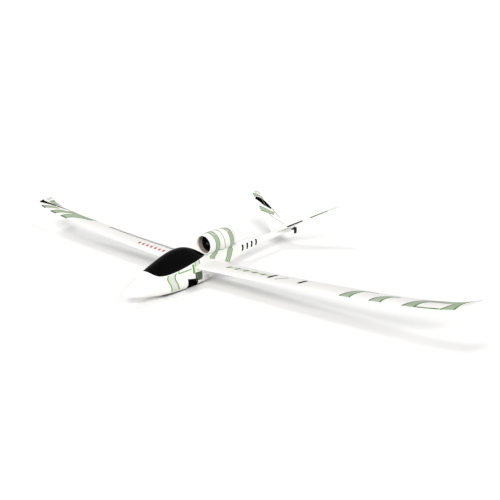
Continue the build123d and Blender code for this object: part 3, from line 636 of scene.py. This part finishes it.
# body sides: edges as (station, height)
BAR_COUNT = 4
BAR_START = 572
BAR_STEP = 30
BAR_FRONT = [(0, 71), (7, 93)]
BAR_REAR = [(10, 70), (17, 92)]
BODY_MARKS = [
    ("band_forward", [(161, 88), (158, 74), (172, 48), (184, 21)], [(202, 88), (195, 71), (208, 46), (224, 18)],
     EDGED, ("silver", "leaf")),
    ("panel_edge", [(211, 95), (209, 84)], [(215, 95), (213, 84)], PLAIN, ("leaf",)),
    ("panel_floor", [(209, 86), (272, 86)], [(209, 82), (272, 82)], PLAIN, ("leaf",)),
    ("panel_aft", [(278, 98), (280, 64)], [(287, 98), (290, 64)], EDGED, ("leaf", "deep")),
    ("patch_grey", [(291, 104), (292, 86)], [(318, 108), (320, 92)], EDGED, ("silver", "leaf")),
    ("block_green", [(290, 66), (294, 30)], [(326, 62), (332, 28)], PLAIN, ("drab",)),
    # light grey patch on the body side under the wing: painted shade, where the wing shades the white foam
    ("block_silver", [(337, 43), (343, 24)], [(369, 36), (374, 20)], PLAIN, ("silver",)),
    ("block_black", [(252, 52), (266, 7)], [(304, 40), (322, 5)], PLAIN, ("ink",)),
]
for side_name, side in SIDES.items():
    for name, first, second, shares, finishes in BODY_MARKS:
        lay(f"mark_{name}_{side_name}", ribbon(first, second, shares), side_ray(side), TREES["side"],
            "airframe", finishes)
    for index in range(BAR_COUNT):
        start = BAR_START + index * BAR_STEP
        bar = ribbon(moved(BAR_FRONT, start), moved(BAR_REAR, start), PLAIN)
        lay(f"mark_bar_{index}_{side_name}", bar, side_ray(side), TREES["side"], "airframe", ("ink",))

# bands round the nacelle, divided between the nacelle and its hatch
HATCH_LOW, HATCH_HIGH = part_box("fan_hatch")
POD_BANDS = [
    ("band_front", [(408, -90), (408, -60), (409, 0), (408, 30), (400, 38), (384, 46)],
     [(431, -90), (431, -60), (432, 0), (434, 30), (428, 42), (408, 54)], EDGED, ("sage", "leaf")),
    ("band_rear", [(487, -90), (487, -60), (488, 0), (500, 32), (482, 54), (464, 76)],
     [(512, -90), (512, -60), (514, 0), (528, 36), (508, 62), (492, 90)], EDGED, ("sage", "leaf")),
    ("line_pod", [(455, -90), (455, -60), (456, 0), (468, 26)], [(458, -90), (458, -60), (459, 0), (472, 26)],
     PLAIN, ("leaf",)),
    ("line_foot", [(434, 22), (468, 30)], [(434, 25), (468, 33)], PLAIN, ("leaf",)),
]


def over_hatch(place):
    """Whether a point of the nacelle lies on the fan hatch."""
    across = HATCH_LOW.x < place.x < HATCH_HIGH.x
    along = HATCH_LOW.y < place.y < HATCH_HIGH.y
    return across and along and place.z > DUCT_AXIS * MM


def off_hatch(place):
    return not over_hatch(place)


for side_name, side in SIDES.items():
    for name, first, second, shares, finishes in POD_BANDS:
        for target, body, keep in (("pod", "airframe", off_hatch), ("hatch", "hatch", over_hatch)):
            lay(f"mark_{name}_{target}_{side_name}", ribbon(first, second, shares, POD_ROWS), pod_ray(side),
                TREES[target], body, finishes, keep)

# ---------------------------------------------------------------- floor, light and camera
FLOOR_SIZE = 30.0
FLOOR_GRAIN = 2.0
FLOOR_ROUGHNESS = 0.95
floor_data = bpy.data.meshes.new("floor")
floor_mesh = bmesh.new()
bmesh.ops.create_grid(floor_mesh, x_segments=4, y_segments=4, size=FLOOR_SIZE)
floor_mesh.to_mesh(floor_data)
floor_mesh.free()
floor = bpy.data.objects.new("floor", floor_data)
bpy.context.scene.collection.objects.link(floor)
floor_material, floor_nodes, floor_links, floor_shader = new_material("floor_paper")
floor_grain = noise(floor_nodes, floor_links, object_coordinates(floor_nodes), FLOOR_GRAIN)
floor_tones = [(0.2, (0.90, 0.90, 0.90)), (0.8, (0.92, 0.92, 0.915))]
floor_links.new(ramp(floor_nodes, floor_links, floor_grain, floor_tones), floor_shader.inputs["Base Color"])
floor_shader.inputs["Roughness"].default_value = FLOOR_ROUGHNESS
floor_shader.inputs["Specular IOR Level"].default_value = 0.0
floor_data.materials.append(floor_material)

scene = bpy.context.scene
# strength of the white sky as it lights the model, and as the camera sees it behind the floor
SKY_LIGHT = 0.53
SKY_SEEN = 1.05
world = bpy.data.worlds.new("studio")
world.use_nodes = True
sky_nodes = world.node_tree.nodes
sky = sky_nodes["Background"]
sky.inputs["Color"].default_value = (1, 1, 1, 1)
ray_kind = sky_nodes.new("ShaderNodeLightPath")
strength = sky_nodes.new("ShaderNodeMapRange")
strength.inputs["To Min"].default_value = SKY_LIGHT
strength.inputs["To Max"].default_value = SKY_SEEN
world.node_tree.links.new(ray_kind.outputs["Is Camera Ray"], strength.inputs["Value"])
world.node_tree.links.new(strength.outputs["Result"], sky.inputs["Strength"])
scene.world = world
scene.view_settings.view_transform = "Standard"


def sun(name, towards, angle, strength, colour):
    """A large far softbox: light falling along one direction, its shadow edges softened by its angle."""
    data = bpy.data.lights.new(name, "SUN")
    data.angle = math.radians(angle)
    data.energy = strength
    data.color = colour
    light = bpy.data.objects.new(name, data)
    light.rotation_mode = "QUATERNION"
    light.rotation_quaternion = Vector(towards).to_track_quat("-Z", "Y")
    light.visible_glossy = False
    scene.collection.objects.link(light)


SOFTNESS = 15.0
WARM = (1.0, 0.99, 0.97)
NEUTRAL = (1.0, 0.995, 0.98)
sun("key", (-0.9, 1.1, -1.0), SOFTNESS, 1.75, WARM)
sun("top", (0.1, 0.5, -1.0), SOFTNESS, 0.76, NEUTRAL)
sun("side", (-1.5, 0.35, -1.0), SOFTNESS, 0.55, NEUTRAL)

AZIMUTH = math.radians(39.0)
ELEVATION = math.radians(18.03)
LENS = 46.09
SENSOR_WIDTH = 36.0
NEAR_CLIP = 0.05
FAR_CLIP = 100.0
CAMERA_PLACE = (1.5366, -1.7371, 0.843)
camera_data = bpy.data.cameras.new("camera")
camera_data.lens = LENS
camera_data.sensor_width = SENSOR_WIDTH
camera_data.clip_start = NEAR_CLIP
camera_data.clip_end = FAR_CLIP
camera = bpy.data.objects.new("camera", camera_data)
camera.location = CAMERA_PLACE
camera.rotation_mode = "QUATERNION"
looking = Vector((-math.sin(AZIMUTH) * math.cos(ELEVATION), math.cos(AZIMUTH) * math.cos(ELEVATION),
                  -math.sin(ELEVATION)))
camera.rotation_quaternion = looking.to_track_quat("-Z", "Y")
scene.collection.objects.link(camera)
scene.camera = camera
